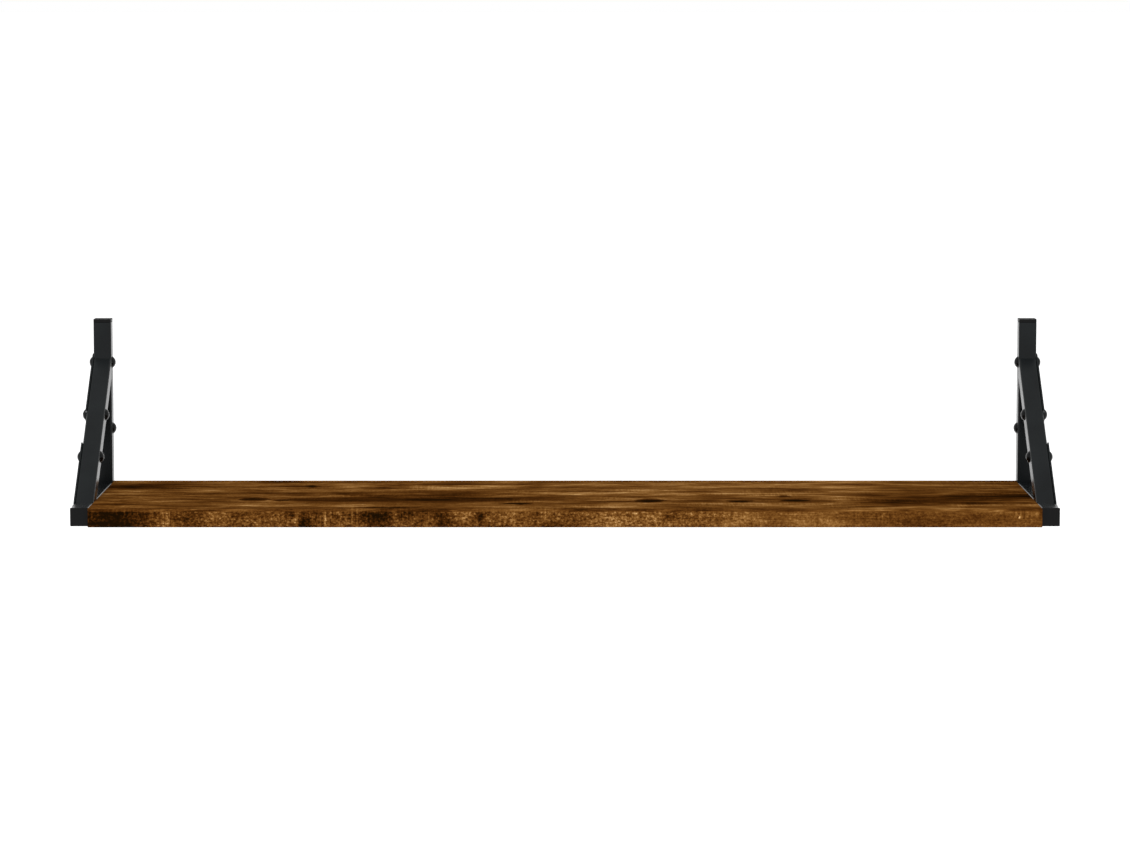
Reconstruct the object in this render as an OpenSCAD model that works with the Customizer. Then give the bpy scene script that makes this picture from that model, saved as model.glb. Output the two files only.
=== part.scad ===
// Wall shelf: a laminated board held between two brackets of square steel tube.
// Each bracket is an upright, an arm and a diagonal brace, joined by riveted gusset plates.
// X runs along the shelf, Y into the wall and Z up; the wall is the plane Y = 0.
// The origin is the middle of the four wall keyholes, on the wall plane.

/* [Board] */
// Length of the board between the brackets
board_w = 770; // [400:10:1200]
// Depth of the board from the wall
board_d = 200; // [196:1:300]
// Thickness of the finished board
board_t = 15; // [15:0.5:18]
// Thickness of the decor laminate on the top and bottom faces
laminate_t = 0.6; // [0.3:0.1:1]
// Thickness of the front edge band, which is also its corner radius
front_band_t = 2; // [1:0.5:3]
// Thickness of the rear and end bands
plain_band_t = 1; // [0.5:0.5:2]

/* [Bracket tube] */
// Outside width of the square tube
tube_s = 15; // [14:0.5:16]
// Wall of the tube
tube_wall = 1.2; // [0.8:0.1:1.5]
// Outside corner radius of the tube
tube_r = 1.8; // [1.6:0.1:2.5]
// Height of the upright above the top of the board
upright_rise = 139.5; // [135:0.5:160]
// Distance from the wall to the front face of the arm's end cap
arm_reach = 191.5; // [180:0.5:200]
// Height above the board where the brace's front edge meets the upright
brace_head = 106; // [100:1:112]
// Distance from the wall where the brace's front edge meets the arm
brace_foot = 157; // [150:1:170]

/* [End caps] */
// Height of the upright's top cap above the tube
top_cap_t = 3; // [2:0.5:4]
// Height of the upright's bottom cap below the tube
bottom_cap_t = 2; // [1:0.5:3]
// Thickness of the arm's front cap
front_cap_t = 1.5; // [1:0.5:2.5]
// Corner radius of the arm's front cap, whose flange covers the tube's own corners
front_cap_r = 0.8; // [0.5:0.1:1.8]
// Chamfer round the outer edge of each cap
cap_chamfer = 0.5; // [0.2:0.1:0.8]
// Back edge eased, which leaves a fine groove where the cap meets the tube
cap_seam = 0.35; // [0.1:0.05:0.5]
// Length of the plug inside the tube
plug_l = 10; // [6:1:14]

/* [Gusset plates and rivets] */
// Thickness of the gusset plates
plate_t = 1.3; // [1:0.1:2]
// Distance from the wall to the upper plate's rivet on the brace
upper_rivet_out = 60.5; // [50:0.5:70]
// Distance from the wall to the lower plate's rivet on the brace
lower_rivet_out = 102; // [95:0.5:110]
// Height above the board of the lower rivet on the upright
upright_rivet_up = 46; // [40:1:60]
// Length of the lower plate past its rivet, along the brace
plate_tail = 9.4; // [8:0.2:12]
// Diameter of the domed rivet heads
rivet_head_d = 10; // [8:0.5:11]
// Height of the domed rivet heads
rivet_head_h = 3; // [2:0.1:3.5]
// Diameter of the rivet shanks
rivet_shank_d = 4.8; // [4:0.1:5]

/* [Board screws] */
// Distances from the wall to the three screws in each end of the board
screw_outs = [30, 100, 145];
// Outside diameter of the screw thread
screw_d = 5; // [4:0.1:5]
// Root diameter of the screw thread
screw_root_d = 3.6; // [3:0.1:3.8]
// Length of the threaded shank inside the board
screw_bite = 30; // [20:1:40]
// Diameter of the screw head
screw_head_d = 8.4; // [7:0.1:9]
// Height of the screw head
screw_head_h = 2.2; // [1.8:0.1:2.6]

/* [Wall fixing] */
// Height above the board of the lower keyholes' round entries
keyhole_low = 12; // [10:1:12]
// Height between the lower and the upper keyholes
keyhole_pitch = 100; // [100:1:101]
// Diameter of the keyhole's round entry
keyhole_d = 9; // [8:0.5:10]
// Width of the keyhole's slot
keyhole_slot = 4.5; // [4:0.5:5]
// Rise of the slot above the entry's centre
keyhole_rise = 8; // [7:0.5:9]

/* [Hidden] */
$fn = 48;
round_gap = 0.1;                                      // radial play round a rivet shank
thread_gap = 0.05;                                    // radial play round a screw thread
plug_gap = 0.1;                                       // play of a cap's plug in its tube
over = 1;                                             // how far a cutter runs past a face
board_top = -(keyhole_low + keyhole_pitch / 2);       // height of the board's top face
tube_c = tube_s / 2;                                  // from a tube's face to its centre
bore_s = tube_s - 2 * tube_wall;                      // inside width of the tube
bore_r = tube_r - tube_wall;                          // inside corner radius of the tube
inner_x = board_w / 2;                                // bracket face against the board
outer_x = inner_x + tube_s;                           // bracket face away from the board
brace_a = atan(brace_head / (brace_foot - tube_s));   // fall of the brace below level
brace_l = 1.2 * norm([brace_foot, brace_head]);       // brace before its ends are cut
shank_l = tube_s + screw_bite;                        // screw shank, less any plate
thread_pitch = 2;
socket_af = 4;                                        // hex socket in the screw head
socket_depth = 1.4;

// All points below are [out from the wall, up from the board's top].
// Height of the brace's centre line at a distance from the wall
function brace_up(out) = brace_head - (out - tube_s) * tan(brace_a) - tube_c / cos(brace_a);
upright_rivets = [[tube_c, brace_up(tube_c)], [tube_c, upright_rivet_up]];
upper_rivet = [upper_rivet_out, brace_up(upper_rivet_out)];
lower_rivet = [lower_rivet_out, brace_up(lower_rivet_out)];
rivet_points = concat(upright_rivets, [upper_rivet, lower_rivet]);
screw_points = [for (out = screw_outs) [out, -board_t / 2]];

steel = [0.16, 0.16, 0.165];
plastic = [0.1, 0.1, 0.105];
oak = [0.42, 0.27, 0.13];
chipboard = [0.72, 0.6, 0.42];
zinc = [0.25, 0.25, 0.26];

// A rounded square of side s, centred
module rounded_square(s, r) {
    square([s, s - 2 * r], center = true);
    square([s - 2 * r, s], center = true);
    for (x = [-1, 1], y = [-1, 1])
        translate([x, y] * (s / 2 - r)) circle(r);
}

// A length of square tube standing on the origin
module square_tube(length) {
    linear_extrude(length) difference() {
        rounded_square(tube_s, tube_r);
        rounded_square(bore_s, bore_r);
    }
}

// Draws a [out, up] outline as a slab from x to x + t
module side_slab(x, t) {
    translate([x + t, 0, board_top]) rotate([90, 0, -90]) linear_extrude(t) children();
}

// Places its children at each [out, up] point, with their Z axis along +X
module along_x(points, x) {
    for (p = points)
        translate([x, -p[0], board_top + p[1]]) rotate([0, 90, 0]) children();
}

// A straight strip with round ends between two points
module capsule(a, b, r) {
    along = b - a;
    translate(a) rotate(atan2(along[1], along[0]))
        translate([0, -r]) square([norm(along), 2 * r]);
    translate(a) circle(r);
    translate(b) circle(r);
}

module mirror_left() {
    mirror([1, 0, 0]) children();
}

// ---- Board ----

module board_box(x_from, x_to, out_from, out_to, up_from, up_to) {
    translate([x_from, -out_to, board_top + up_from])
        cube([x_to - x_from, out_to - out_from, up_to - up_from]);
}

module screw_bores(x, length) {
    along_x(screw_points, x) cylinder(h = length, d = screw_d + 2 * thread_gap);
}

module board_core() {
    half = inner_x - plain_band_t;
    color(chipboard) difference() {
        board_box(-half, half, plain_band_t, board_d - front_band_t,
            laminate_t - board_t, -laminate_t);
        screw_bores(inner_x - screw_bite - over, screw_bite + 2 * over);
        mirror_left() screw_bores(inner_x - screw_bite - over, screw_bite + 2 * over);
    }
}

module top_laminate() {
    color(oak) board_box(-inner_x, inner_x, 0, board_d - front_band_t, -laminate_t, 0);
}

module bottom_laminate() {
    color(oak) board_box(-inner_x, inner_x, 0, board_d - front_band_t,
        -board_t, laminate_t - board_t);
}

// The front half of a rounded bar, span long and r thick, with its flat back on Y = 0
module half_rounded(span, r) {
    translate([-span / 2 + r, -r]) square([span - 2 * r, r]);
    for (x = [r - span / 2, span / 2 - r]) intersection() {
        translate([x, 0]) circle(r);
        translate([-span / 2, -r]) square([span, r]);
    }
}

// The front band is rounded along its top and bottom edges and at both ends
module front_edge_band() {
    r = front_band_t;
    back = board_d - r;
    color(oak) intersection() {
        translate([-inner_x, -back, board_top - board_t / 2])
            rotate([90, 0, 90]) linear_extrude(board_w)
                rotate(-90) half_rounded(board_t, r);
        translate([0, -back, board_top - board_t])
            linear_extrude(board_t) half_rounded(board_w, r);
    }
}

module rear_edge_band() {
    half = inner_x - plain_band_t;
    color(oak) board_box(-half, half, 0, plain_band_t, laminate_t - board_t, -laminate_t);
}

module end_band() {
    color(oak) difference() {
        board_box(inner_x - plain_band_t, inner_x, 0, board_d - front_band_t,
            laminate_t - board_t, -laminate_t);
        screw_bores(inner_x - plain_band_t - over, plain_band_t + 2 * over);
    }
}

// ---- Bracket tubes ----

module rivet_bores(points) {
    along_x(points, inner_x - over)
        cylinder(h = tube_s + plate_t + 2 * over, d = rivet_shank_d + 2 * round_gap);
}

// Two keyholes through the wall side of the upright, with their slots upwards
module keyholes() {
    for (up = [0, keyhole_pitch])
        translate([inner_x + tube_c, over, board_top + keyhole_low + up])
            rotate([90, 0, 0]) linear_extrude(tube_wall + 2 * over) {
                circle(d = keyhole_d);
                capsule([0, 0], [0, keyhole_rise], keyhole_slot / 2);
            }
}

module upright_tube() {
    length = board_t + upright_rise - top_cap_t - bottom_cap_t;
    color(steel) difference() {
        translate([inner_x + tube_c, -tube_c, board_top - board_t + bottom_cap_t])
            square_tube(length);
        rivet_bores(upright_rivets);
        keyholes();
    }
}

module arm_tube() {
    color(steel) difference() {
        translate([inner_x + tube_c, -tube_s, board_top - tube_c])
            rotate([90, 0, 0]) square_tube(arm_reach - front_cap_t - tube_s);
        screw_bores(inner_x - over, tube_s + 2 * over);
    }
}

// The brace is a longer tube trimmed by the upright's front and the arm's top
module diagonal_brace() {
    middle = (tube_s + brace_foot) / 2;
    color(steel) difference() {
        intersection() {
            translate([inner_x + tube_c, -middle, board_top + brace_up(middle)])
                rotate([brace_a - 90, 0, 0]) translate([0, 0, -brace_l / 2])
                    square_tube(brace_l);
            board_box(inner_x - over, outer_x + over, tube_s, board_d, 0, upright_rise);
        }
        rivet_bores([upper_rivet, lower_rivet]);
    }
}

// ---- Gusset plates on the outer faces ----

module upper_gusset() {
    corners = concat(upright_rivets, [upper_rivet]);
    color(steel) difference() {
        side_slab(outer_x, plate_t) {
            polygon(corners);
            for (i = [0:2]) capsule(corners[i], corners[(i + 1) % 3], tube_c);
        }
        rivet_bores(corners);
    }
}

module lower_gusset() {
    along = [-cos(brace_a), sin(brace_a)];
    across = [sin(brace_a), cos(brace_a)];
    tail = lower_rivet + plate_tail * along;
    front_top = tail + tube_c * across;
    rear_top = tail - tube_c * across;
    color(steel) difference() {
        side_slab(outer_x, plate_t) polygon([
            front_top, [brace_foot, 0], [brace_foot, -tube_s],
            [rear_top[0], -tube_s], rear_top
        ]);
        rivet_bores([lower_rivet]);
        screw_bores(outer_x - over, plate_t + 2 * over);
    }
}

// ---- Plastic end caps ----

// A cap standing on the tube's end: a head eased at both edges above, a ribbed plug below
module end_cap(head_t, head_r = tube_r) {
    half = tube_s / 2;
    side = [
        [cap_seam - half, 0], [half - cap_seam, 0], [half, cap_seam],
        [half, head_t - cap_chamfer], [half - cap_chamfer, head_t],
        [cap_chamfer - half, head_t], [-half, head_t - cap_chamfer], [-half, cap_seam]
    ];
    plug_s = bore_s - 2 * plug_gap;
    rib_depth = 0.8;
    intersection() {
        linear_extrude(head_t) rounded_square(tube_s, head_r);
        rotate([90, 0, 0]) translate([0, 0, -half]) linear_extrude(tube_s) polygon(side);
        rotate([90, 0, 90]) translate([0, 0, -half]) linear_extrude(tube_s) polygon(side);
    }
    translate([0, 0, -plug_l]) linear_extrude(plug_l)
        rounded_square(plug_s - 2 * rib_depth, bore_r);
    for (i = [1:3])
        translate([0, 0, -plug_l * i / 4]) linear_extrude(1) rounded_square(plug_s, bore_r);
}

module upright_top_cap() {
    color(plastic)
        translate([inner_x + tube_c, -tube_c, board_top + upright_rise - top_cap_t])
            end_cap(top_cap_t);
}

module upright_bottom_cap() {
    color(plastic)
        translate([inner_x + tube_c, -tube_c, board_top - board_t + bottom_cap_t])
            rotate([180, 0, 0]) end_cap(bottom_cap_t);
}

module arm_front_cap() {
    color(plastic)
        translate([inner_x + tube_c, front_cap_t - arm_reach, board_top - tube_c])
            rotate([90, 0, 0]) end_cap(front_cap_t, front_cap_r);
}

// ---- Fasteners ----

// A domed head standing on the origin
module rivet_head() {
    sphere_r = (pow(rivet_head_d / 2, 2) + pow(rivet_head_h, 2)) / (2 * rivet_head_h);
    intersection() {
        translate([0, 0, rivet_head_h - sphere_r]) sphere(sphere_r);
        cylinder(h = rivet_head_h + over, d = rivet_head_d);
    }
}

// Each rivet clamps the gusset plate to the tube, with a dome at both ends
module rivets() {
    grip = tube_s + plate_t;
    color(steel) along_x(rivet_points, inner_x) {
        cylinder(h = grip, d = rivet_shank_d);
        translate([0, 0, grip]) rivet_head();
        mirror([0, 0, 1]) rivet_head();
    }
}

// Thread ridges on a plain root, ending in a blunt tip
module threaded_shank(smooth, length) {
    ridges = floor((length - smooth) / thread_pitch) - 1;
    outline = concat(
        [[0, 0], [screw_root_d / 2, 0]],
        [for (i = [0:ridges - 1], k = [0, 1]) [
            k == 0 ? screw_root_d / 2 : screw_d / 2,
            -smooth - (i + k * 0.6) * thread_pitch
        ]],
        [[screw_root_d / 2, -smooth - ridges * thread_pitch],
         [screw_root_d / 2, 1 - length], [screw_root_d / 2 - 1, -length], [0, -length]]
    );
    rotate_extrude() polygon(outline);
}

// One screw, its head standing on the origin and its shank below
module board_screw(extra) {
    edge = 0.4;
    difference() {
        union() {
            cylinder(h = screw_head_h - edge, d = screw_head_d);
            translate([0, 0, screw_head_h - edge])
                cylinder(h = edge, d1 = screw_head_d, d2 = screw_head_d - 2 * edge);
        }
        translate([0, 0, screw_head_h - socket_depth])
            cylinder(h = socket_depth + over, d = socket_af / cos(30), $fn = 6);
    }
    threaded_shank(tube_s + extra, shank_l + extra);
}

// The rear screw bears on the arm, the other two on the lower gusset plate
module board_screws() {
    color(zinc) {
        along_x([screw_points[0]], outer_x) board_screw(0);
        along_x([screw_points[1], screw_points[2]], outer_x + plate_t)
            board_screw(plate_t);
    }
}

board_core();
top_laminate();
bottom_laminate();
front_edge_band();
rear_edge_band();
mirror_left() end_band();  // left_end_band
end_band();  // right_end_band
mirror_left() upright_tube();  // left_upright_tube
upright_tube();  // right_upright_tube
mirror_left() arm_tube();  // left_arm_tube
arm_tube();  // right_arm_tube
mirror_left() diagonal_brace();  // left_diagonal_brace
diagonal_brace();  // right_diagonal_brace
mirror_left() upper_gusset();  // left_upper_gusset
upper_gusset();  // right_upper_gusset
mirror_left() lower_gusset();  // left_lower_gusset
lower_gusset();  // right_lower_gusset
mirror_left() upright_top_cap();  // left_upright_top_cap
upright_top_cap();  // right_upright_top_cap
mirror_left() upright_bottom_cap();  // left_upright_bottom_cap
upright_bottom_cap();  // right_upright_bottom_cap
mirror_left() arm_front_cap();  // left_arm_front_cap
arm_front_cap();  // right_arm_front_cap
mirror_left() rivets();  // left_rivets
rivets();  // right_rivets
mirror_left() board_screws();  // left_board_screws
board_screws();  // right_board_screws
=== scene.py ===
"""Looks for a wall shelf: a rustic oak laminate board between two black steel tube brackets."""
import math

import bpy
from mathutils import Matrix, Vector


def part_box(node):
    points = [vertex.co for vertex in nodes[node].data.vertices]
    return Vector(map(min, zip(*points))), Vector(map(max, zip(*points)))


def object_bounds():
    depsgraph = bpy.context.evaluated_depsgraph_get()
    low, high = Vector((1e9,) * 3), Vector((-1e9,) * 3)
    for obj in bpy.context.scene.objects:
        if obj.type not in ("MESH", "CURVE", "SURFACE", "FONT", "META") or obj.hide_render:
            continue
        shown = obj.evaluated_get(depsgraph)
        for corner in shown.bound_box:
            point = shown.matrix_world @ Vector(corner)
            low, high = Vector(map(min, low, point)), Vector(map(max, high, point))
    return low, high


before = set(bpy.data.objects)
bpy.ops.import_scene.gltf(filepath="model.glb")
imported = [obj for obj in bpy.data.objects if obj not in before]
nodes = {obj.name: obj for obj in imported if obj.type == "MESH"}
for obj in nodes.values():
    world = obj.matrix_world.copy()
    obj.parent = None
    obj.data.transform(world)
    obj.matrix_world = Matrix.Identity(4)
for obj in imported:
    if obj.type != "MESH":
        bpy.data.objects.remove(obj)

MM = 0.001
cad_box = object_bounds()
board_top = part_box("top_laminate")[1].z


# ---- Shader helpers ----

def colour(hex_code):
    """Linear RGBA of an sRGB hex colour such as 623d19."""
    channels = [int(hex_code[i:i + 2], 16) / 255 for i in (0, 2, 4)]
    linear = [c / 12.92 if c <= 0.04045 else ((c + 0.055) / 1.055) ** 2.4 for c in channels]
    return (*linear, 1.0)


def grey(level):
    """Linear RGBA of an even grey, from 0 for black to 1 for white."""
    return (level, level, level, 1.0)


def feed(tree, node, inputs):
    """Links each input that is given another node's output, and sets the others."""
    for key, value in inputs.items():
        if isinstance(value, bpy.types.NodeSocket):
            tree.links.new(value, node.inputs[key])
        else:
            node.inputs[key].default_value = value


def add(tree, kind, inputs, out=0, stops=None, **settings):
    """Adds one node: sets its properties, feeds its inputs, and returns one of its outputs."""
    node = tree.nodes.new("ShaderNode" + kind)
    for name, value in settings.items():
        setattr(node, name, value)
    if stops:
        ramp = node.color_ramp.elements
        ramp[0].position, ramp[0].color = stops[0]
        ramp[1].position, ramp[1].color = stops[-1]
        for position, value in stops[1:-1]:
            ramp.new(position).color = value
    feed(tree, node, inputs)
    return node.outputs[out]


def new_material(name):
    """A material with its node tree, its shader and the piece's own coordinates in metres."""
    material = bpy.data.materials.new(name)
    material.use_nodes = True
    tree = material.node_tree
    return material, tree, tree.nodes["Principled BSDF"], add(tree, "TexCoord", {}, out="Object")


def per_mm(*sizes):
    """The scale that makes a pattern repeat about once in each of these sizes, in mm."""
    return tuple(1 / (size * MM) for size in sizes)


# ---- Camera ----

CAMERA_DISTANCE = 3.441      # from the wall
CAMERA_HEIGHT = 0.4007       # above the top of the board
CAMERA_DIP = 5.836           # degrees below level
CAMERA_LENS = 129.1

camera_data = bpy.data.cameras.new("camera")
camera_data.sensor_width = 36.0
camera_data.lens = CAMERA_LENS
camera_data.clip_end = 5000.0
camera = bpy.data.objects.new("camera", camera_data)
bpy.context.scene.collection.objects.link(camera)
camera.location = (0.0, -CAMERA_DISTANCE, board_top + CAMERA_HEIGHT)
camera.rotation_euler = (math.radians(90 - CAMERA_DIP), 0.0, 0.0)
bpy.context.scene.camera = camera
bpy.context.scene.view_settings.view_transform = "Standard"


# ---- Light and floor ----

WALL_TOP = 0.35              # sine of 20 degrees above level
CEILING_EDGE = 0.75          # sine of 49 degrees above level
WALL_WHITE = 1.0
CEILING_WHITE = 0.8

world = bpy.data.worlds.new("studio")
bpy.context.scene.world = world
world.use_nodes = True
# White walls all round, which darken a little towards the ceiling
background = world.node_tree.nodes["Background"]
sky = add(world.node_tree, "TexCoord", {}, out="Generated")
rise = add(world.node_tree, "SeparateXYZ", {"Vector": sky}, out="Z")
walls = add(world.node_tree, "ValToRGB", {"Fac": rise},
            stops=[(WALL_TOP, grey(WALL_WHITE)), (CEILING_EDGE, grey(CEILING_WHITE))])
feed(world.node_tree, background, {"Color": walls, "Strength": 1.0})

# A broad soft light in front of the shelf, 44 degrees above level and a little to the left
sun_data = bpy.data.lights.new("soft_sun", "SUN")
sun_data.energy = 2.1
sun_data.angle = math.radians(14)
sun = bpy.data.objects.new("soft_sun", sun_data)
sun.rotation_euler = (math.radians(46), 0, math.radians(-3))
bpy.context.scene.collection.objects.link(sun)

# The shelf hangs high above a floor that runs to the horizon, so the floor is white throughout
FLOOR_DROP = 1.6
FLOOR_HALF = 2000.0
floor_mesh = bpy.data.meshes.new("floor")
corners = [(x * FLOOR_HALF, y * FLOOR_HALF, 0) for x, y in ((-1, -1), (1, -1), (1, 1), (-1, 1))]
floor_mesh.from_pydata(corners, [], [(0, 1, 2, 3)])
floor = bpy.data.objects.new("floor", floor_mesh)
floor.location.z = cad_box[0][2] - FLOOR_DROP
bpy.context.scene.collection.objects.link(floor)
floor_paint, tree, shader, _ = new_material("pale_matt_floor")
feed(tree, shader, {"Base Color": grey(0.95), "Roughness": 1.0, "Specular IOR Level": 0.0})
floor_mesh.materials.append(floor_paint)


# ---- Metal and plastic ----

def powder_coat():
    """Polyester powder, baked black on steel: semi-gloss over a faint orange peel."""
    material, tree, shader, place = new_material("black_powder_coated_steel")
    # The peel's waves are 2 to 4 mm long on the real coat, and stay that size here
    spread = add(tree, "Mapping", {"Vector": place, "Scale": per_mm(3, 3, 3)})
    peel = add(tree, "TexNoise", {"Vector": spread, "Scale": 1.0, "Detail": 2.0})
    normal = add(tree, "Bump", {"Height": peel, "Strength": 0.12, "Distance": 0.05 * MM})
    # The powder lay thicker in some places, in clouds 40 mm across
    spread = add(tree, "Mapping", {"Vector": place, "Scale": per_mm(40, 40, 40)})
    cloud = add(tree, "TexNoise", {"Vector": spread, "Scale": 1.0, "Detail": 3.0})
    black = add(tree, "ValToRGB", {"Fac": cloud},
                stops=[(0.3, colour("0e1011")), (0.7, colour("151819"))])
    gloss = add(tree, "MapRange", {"Value": cloud, "From Min": 0.3, "From Max": 0.7,
                                   "To Min": 0.22, "To Max": 0.28})
    feed(tree, shader, {"Base Color": black, "Roughness": gloss, "Normal": normal,
                        "IOR": 1.5, "Specular IOR Level": 0.12})
    return material


def cap_plastic():
    """Polyethylene, moulded against a fine-sparked tool: blacker and duller than the coat."""
    material, tree, shader, place = new_material("black_moulded_polyethylene")
    # Spark marks are about 0.1 mm, drawn five times as coarse so that they show
    spread = add(tree, "Mapping", {"Vector": place, "Scale": per_mm(0.5, 0.5, 0.5)})
    spark = add(tree, "TexNoise", {"Vector": spread, "Scale": 1.0, "Detail": 2.0})
    black = add(tree, "ValToRGB", {"Fac": spark},
                stops=[(0.3, colour("040404")), (0.7, colour("09090a"))])
    normal = add(tree, "Bump", {"Height": spark, "Strength": 0.15, "Distance": 0.08 * MM})
    feed(tree, shader, {"Base Color": black, "Roughness": 0.4, "Normal": normal,
                        "IOR": 1.5, "Specular IOR Level": 0.12})
    return material


def rivet_paint():
    """Enamel stoved on domed steel heads: smoother and blacker than the coat round them."""
    material, tree, shader, place = new_material("black_enamelled_steel")
    # The forming tool left shallow dimples, 1.5 mm across
    spread = add(tree, "Mapping", {"Vector": place, "Scale": per_mm(1.5, 1.5, 1.5)})
    dimple = add(tree, "TexNoise", {"Vector": spread, "Scale": 1.0, "Detail": 2.0})
    black = add(tree, "ValToRGB", {"Fac": dimple},
                stops=[(0.3, colour("070708")), (0.7, colour("0c0d0d"))])
    normal = add(tree, "Bump", {"Height": dimple, "Strength": 0.15, "Distance": 0.05 * MM})
    feed(tree, shader, {"Base Color": black, "Roughness": 0.18, "Normal": normal,
                        "IOR": 1.5, "Specular IOR Level": 0.12})
    return material


def black_zinc():
    """Zinc plate, passivated black: a dull metal with an uneven, faintly brown bloom."""
    material, tree, shader, place = new_material("black_passivated_zinc")
    # The bloom's spots are about 1.2 mm across
    spread = add(tree, "Mapping", {"Vector": place, "Scale": per_mm(1.2, 1.2, 1.2)})
    bloom = add(tree, "TexNoise", {"Vector": spread, "Scale": 1.0, "Detail": 3.0})
    plating = add(tree, "ValToRGB", {"Fac": bloom},
                  stops=[(0.3, colour("1c1c1f")), (0.7, colour("3a3836"))])
    dull = add(tree, "MapRange", {"Value": bloom, "From Min": 0.3, "From Max": 0.7,
                                  "To Min": 0.3, "To Max": 0.45})
    feed(tree, shader, {"Base Color": plating, "Roughness": dull, "Metallic": 1.0})
    return material


# ---- Rustic oak print ----

# Marks in the print, and on the top one painted shade, as (along the board, across, half length,
# half width, darkness); all but the last in mm. Across is out from the wall on the top, and down
# from the top on the front.
# A mark with a darkness below 0 is paler than the wood round it.
TOP_SMUDGES_AND_SHADE = [
    # The first mark on the top is painted shade, not print: the shadow the left bracket casts over
    # the left end of the board, near the wall.
    (-365, 45, 60, 34, 0.8), (-110, 120, 130, 46, 0.7), (-60, 136, 80, 26, 0.5),
    (320, 125, 100, 66, 0.8), (265, 160, 50, 30, 0.6), (375, 110, 46, 60, 0.4),
    (-150, 50, 24, 30, 0.6), (-245, 8, 30, 14, 0.8), (40, 4, 110, 6, 0.6), (190, 146, 40, 24, 0.6),
    (-180, 110, 100, 90, 0.25), (-290, 110, 80, 90, 0.15), (60, 60, 90, 80, -0.2),
    (0, 196, 900, 16, 0.25),
]
TOP_KNOTS = [
    (-256, 134, 17, 18, 0.8), (-232, 142, 10, 10, 0.5), (-40, 164, 17, 8, 1.1),
    (70, 142, 15, 20, 1.0), (143, 147, 16, 11, 0.8), (188, 142, 16, 14, 0.6),
    (182, 112, 9, 14, 0.6), (-214, 42, 9, 14, 0.6), (-145, 190, 36, 8, 0.7),
]
FRONT_SMUDGES = [
    (-362, 5, 44, 12, 1.1), (-368, 13, 50, 5, 0.8), (-306, 7, 22, 12, 0.8),
    (-210, 12, 8, 7, 1.1), (-218, 3, 14, 5, 0.5), (-150, 6, 16, 14, 1.1), (-128, 3, 12, 6, 0.8),
    (-98, 9, 9, 14, 0.5), (-68, 6, 5, 9, 0.8), (84, 5, 10, 6, 0.6), (335, 8, 80, 14, 0.35),
    (366, 7, 1.6, 1.6, -1.6), (-216, 7, 5, 9, -0.7), (-82, 5, 8, 8, -0.5),
    (-40, 8, 150, 40, 0.2), (200, 8, 100, 30, -0.25),
]
SMUDGE_AND_SHADE_DEPTH = 0.42          # how much a smudge, or the painted shade, of darkness 1 takes off the tone
KNOT_DEPTH = 0.75            # how much of the knots' own shading shows in the tone
BAND_RADIUS = 2.0            # mm; the top's print is rolled this far down the front band
BAND_FADE = 0.6              # mm to each side, in which one print gives way to the other


def marks_on(tree, place, marks, upright):
    """How dark the marks make each point: a sum of cones that are 1 high at the middle."""
    total = 0.0
    for along, across, half_length, half_width, darkness in marks:
        if upright:
            scale = (1 / half_length, 0, 1 / half_width)
            middle = (along, 0, board_top / MM - across)
        else:
            scale = (1 / half_length, 1 / half_width, 0)
            middle = (along, -across, 0)
        spread = add(tree, "Mapping", {
            "Vector": place, "Scale": tuple(s / MM for s in scale),
            "Location": tuple(-m * s for m, s in zip(middle, scale))})
        cone = add(tree, "TexGradient", {"Vector": spread}, out="Fac", gradient_type="SPHERICAL")
        total = add(tree, "Math", {0: cone, 1: darkness, 2: total}, operation="MULTIPLY_ADD")
    return total


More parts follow.
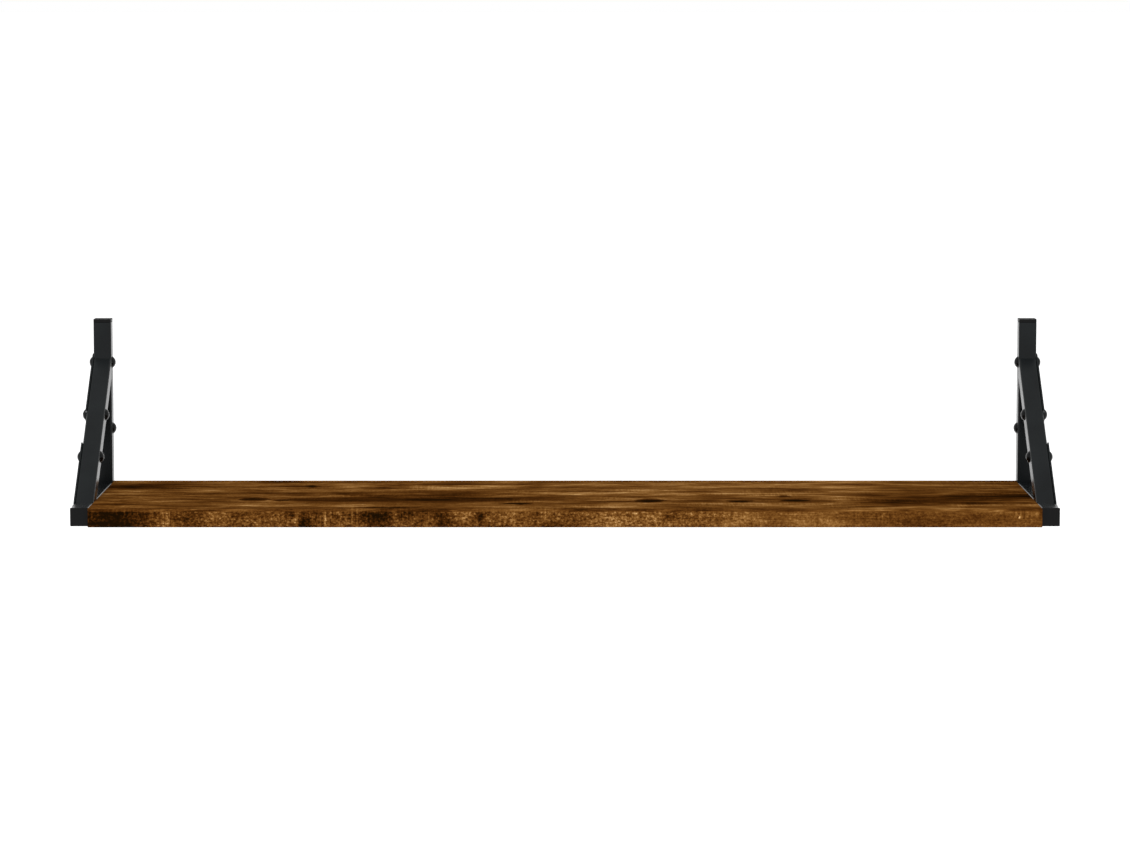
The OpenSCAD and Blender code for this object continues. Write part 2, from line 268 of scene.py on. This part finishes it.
def oak_print(tree, place, sawn, smudges_and_shade=(), knots=(), upright=False, shift=0.0, middle=0.5):
    """The print's tone, from 0 for dark to 1 for light about its middle, and its relief.

    sawn is how rough the cut looks, from 0 for sanded to 1 for straight off the saw. shift
    moves the blotches, so that each face has its own, and upright is for marks on the front.
    """
    # Slow waves bend the grain by up to 10 mm to each side
    spread = add(tree, "Mapping", {"Vector": place, "Scale": per_mm(150, 60, 60),
                                   "Location": (shift, shift, shift)})
    sway = add(tree, "TexNoise", {"Vector": spread, "Scale": 1.0, "Detail": 1.0}, out="Color")
    flow = add(tree, "VectorMath", {0: sway, 1: (0, 20 * MM, 20 * MM), 2: place},
               operation="MULTIPLY_ADD")
    # Smoky blotches 70 by 24 mm, fibres 0.9 mm wide, and growth lines 9 mm apart
    spread = add(tree, "Mapping", {"Vector": flow, "Scale": per_mm(70, 24, 24),
                                   "Location": (shift, shift, shift)})
    blotch = add(tree, "TexNoise", {"Vector": spread, "Scale": 1.0, "Detail": 5.0,
                                    "Roughness": 0.62})
    spread = add(tree, "Mapping", {"Vector": flow, "Scale": per_mm(28, 0.9, 0.9)})
    fibre = add(tree, "TexNoise", {"Vector": spread, "Scale": 1.0, "Detail": 3.0})
    spread = add(tree, "Mapping", {"Vector": flow, "Scale": per_mm(100, 9, 9)})
    lines = add(tree, "TexNoise", {"Vector": spread, "Scale": 1.0, "Detail": 5.0,
                                   "Roughness": 0.7})
    # Crushed grain, 2 mm across, which the saw tore less deeply towards the right end
    spread = add(tree, "Mapping", {"Vector": place, "Scale": per_mm(2.2, 1.7, 1.7)})
    crush = add(tree, "TexNoise", {"Vector": spread, "Scale": 1.0, "Detail": 3.0,
                                   "Roughness": 0.75})
    along = add(tree, "SeparateXYZ", {"Vector": place}, out="X")
    bite = add(tree, "MapRange", {"Value": along, "From Min": 90 * MM, "From Max": 170 * MM,
                                  "To Min": 1.0, "To Max": 0.5})
    # Saw teeth 1.6 mm apart, which show only where the blade chattered
    spread = add(tree, "Mapping", {"Vector": place, "Scale": per_mm(1.6, 30, 30)})
    teeth = add(tree, "TexNoise", {"Vector": spread, "Scale": 1.0, "Detail": 1.0})
    spread = add(tree, "Mapping", {"Vector": place, "Scale": per_mm(55, 25, 25)})
    chatter = add(tree, "TexNoise", {"Vector": spread, "Scale": 1.0, "Detail": 1.0})
    chatter = add(tree, "MapRange", {"Value": chatter, "From Min": 0.5, "From Max": 0.65})
    # Each layer swings about 0.5 by its weight, as far as its share of the place allows
    layers = (
        (blotch, 1.15 - 0.4 * sawn, 1.0),
        (fibre, 0.65 - 0.3 * sawn, 1.0),
        (lines, 0.8 - 0.6 * sawn, 1.0),
        (crush, 0.25 + 1.1 * sawn, bite),
        (teeth, 0.15 + 0.65 * sawn, chatter),
    )
    tone = middle
    for layer, weight, share in layers:
        swing = add(tree, "Math", {0: layer, 1: 0.5}, operation="SUBTRACT")
        swing = add(tree, "Math", {0: swing, 1: share}, operation="MULTIPLY")
        tone = add(tree, "Math", {0: swing, 1: weight, 2: tone}, operation="MULTIPLY_ADD")
    # The marks' edges are torn by noise 14 by 7 mm, further along the board than across it
    spread = add(tree, "Mapping", {"Vector": place, "Scale": per_mm(14, 7, 7)})
    tear = add(tree, "TexNoise", {"Vector": spread, "Scale": 1.0, "Detail": 4.0,
                                  "Roughness": 0.7}, out="Color")
    tear = add(tree, "VectorMath", {0: tear, 1: (0.5, 0.5, 0.5)}, operation="SUBTRACT")
    reach = (12 * MM, 8 * MM, 8 * MM) if upright else (30 * MM, 16 * MM, 16 * MM)
    torn = add(tree, "VectorMath", {0: tear, 1: reach, 2: place}, operation="MULTIPLY_ADD")
    if smudges_and_shade:
        dark = marks_on(tree, torn, smudges_and_shade, upright)
        tone = add(tree, "Math", {0: dark, 1: -SMUDGE_AND_SHADE_DEPTH, 2: tone}, operation="MULTIPLY_ADD")
    if knots:
        heart = marks_on(tree, torn, knots, upright)
        # A knot is dark at its heart, with a paler collar where the grain parts round it
        ring = add(tree, "ValToRGB", {"Fac": heart}, stops=[
            (0.0, grey(0.5)), (0.08, grey(0.58)), (0.3, grey(0.25)), (0.7, grey(0.0))])
        swing = add(tree, "Math", {0: ring, 1: 0.5}, operation="SUBTRACT")
        tone = add(tree, "Math", {0: swing, 1: KNOT_DEPTH, 2: tone}, operation="MULTIPLY_ADD")
    relief = add(tree, "Math", {0: crush, 1: fibre}, operation="ADD")
    return tone, relief


def melamine(tree, shader, tone, relief):
    """Melamine paper, pressed against an open-pored plate: dead matt, with grain you can feel."""
    brown = add(tree, "ValToRGB", {"Fac": tone}, stops=[
        (0.05, colour("140a02")), (0.28, colour("3a1e06")), (0.42, colour("553311")),
        (0.52, colour("66421b")), (0.64, colour("835c2f")), (0.76, colour("a68050")),
        (0.92, colour("c9a26e"))])
    normal = add(tree, "Bump", {"Height": relief, "Strength": 0.3, "Distance": 0.1 * MM})
    feed(tree, shader, {"Base Color": brown, "Roughness": 0.75, "Normal": normal,
                        "IOR": 1.5, "Specular IOR Level": 0.0})


def oak_top():
    """A sanded oak print: smoky patches, knots and long grain along the board, with painted shade
    where the left bracket shadows its left end.
    """
    material, tree, shader, place = new_material("pressed_oak_melamine_top")
    melamine(tree, shader, *oak_print(tree, place, 0.15, TOP_SMUDGES_AND_SHADE, TOP_KNOTS, middle=0.48))
    return material


def oak_front():
    """A rough-sawn oak print, mottled and smudged, with the top's print rolled over its edge."""
    material, tree, shader, place = new_material("pressed_oak_melamine_front")
    tone, relief = oak_print(tree, place, 1.0, FRONT_SMUDGES, upright=True, shift=3.7, middle=0.445)
    rolled, _ = oak_print(tree, place, 0.15, middle=0.36)
    height = add(tree, "SeparateXYZ", {"Vector": place}, out="Z")
    edge = add(tree, "MapRange", {
        "Value": height, "From Min": board_top - (BAND_RADIUS + BAND_FADE) * MM,
        "From Max": board_top - (BAND_RADIUS - BAND_FADE) * MM}, interpolation_type="SMOOTHSTEP")
    mixed = add(tree, "Mix", {0: edge, 2: tone, 3: rolled})
    melamine(tree, shader, mixed, relief)
    return material


def oak_plain(name, shift):
    """The same print without its marks, for the faces that turn away from the room."""
    material, tree, shader, place = new_material(name)
    melamine(tree, shader, *oak_print(tree, place, 0.3, shift=shift))
    return material


def chipboard():
    """Fine wood chips, pressed and left raw: pale, dry and crumbly in the screw holes."""
    material, tree, shader, place = new_material("raw_pressed_chipboard")
    # Chips are about 6 mm long and 2 mm wide
    spread = add(tree, "Mapping", {"Vector": place, "Scale": per_mm(6, 2, 2)})
    chips = add(tree, "TexNoise", {"Vector": spread, "Scale": 1.0, "Detail": 4.0})
    straw = add(tree, "ValToRGB", {"Fac": chips},
                stops=[(0.3, colour("8c6b43")), (0.7, colour("c9a878"))])
    normal = add(tree, "Bump", {"Height": chips, "Strength": 0.5, "Distance": 0.3 * MM})
    feed(tree, shader, {"Base Color": straw, "Roughness": 0.9, "Normal": normal})
    return material


# ---- Which piece has which finish ----

def assign(material, *names):
    """Gives these pieces the material, in place of any that they came with."""
    for name in names:
        mesh = nodes[name].data
        mesh.materials.clear()
        mesh.materials.append(material)


coat, cap, rivet, zinc = powder_coat(), cap_plastic(), rivet_paint(), black_zinc()
for side in ("left", "right"):
    assign(coat, *(f"{side}_{part}" for part in (
        "upright_tube", "arm_tube", "diagonal_brace", "upper_gusset", "lower_gusset")))
    assign(cap, *(f"{side}_{part}" for part in (
        "upright_top_cap", "upright_bottom_cap", "arm_front_cap")))
    assign(rivet, f"{side}_rivets")
    assign(zinc, f"{side}_board_screws")
assign(oak_top(), "top_laminate")
assign(oak_front(), "front_edge_band")
assign(oak_plain("pressed_oak_melamine_underside", 11.3), "bottom_laminate")
assign(oak_plain("pressed_oak_melamine_edges", 5.9),
       "rear_edge_band", "left_end_band", "right_end_band")
assign(chipboard(), "board_core")
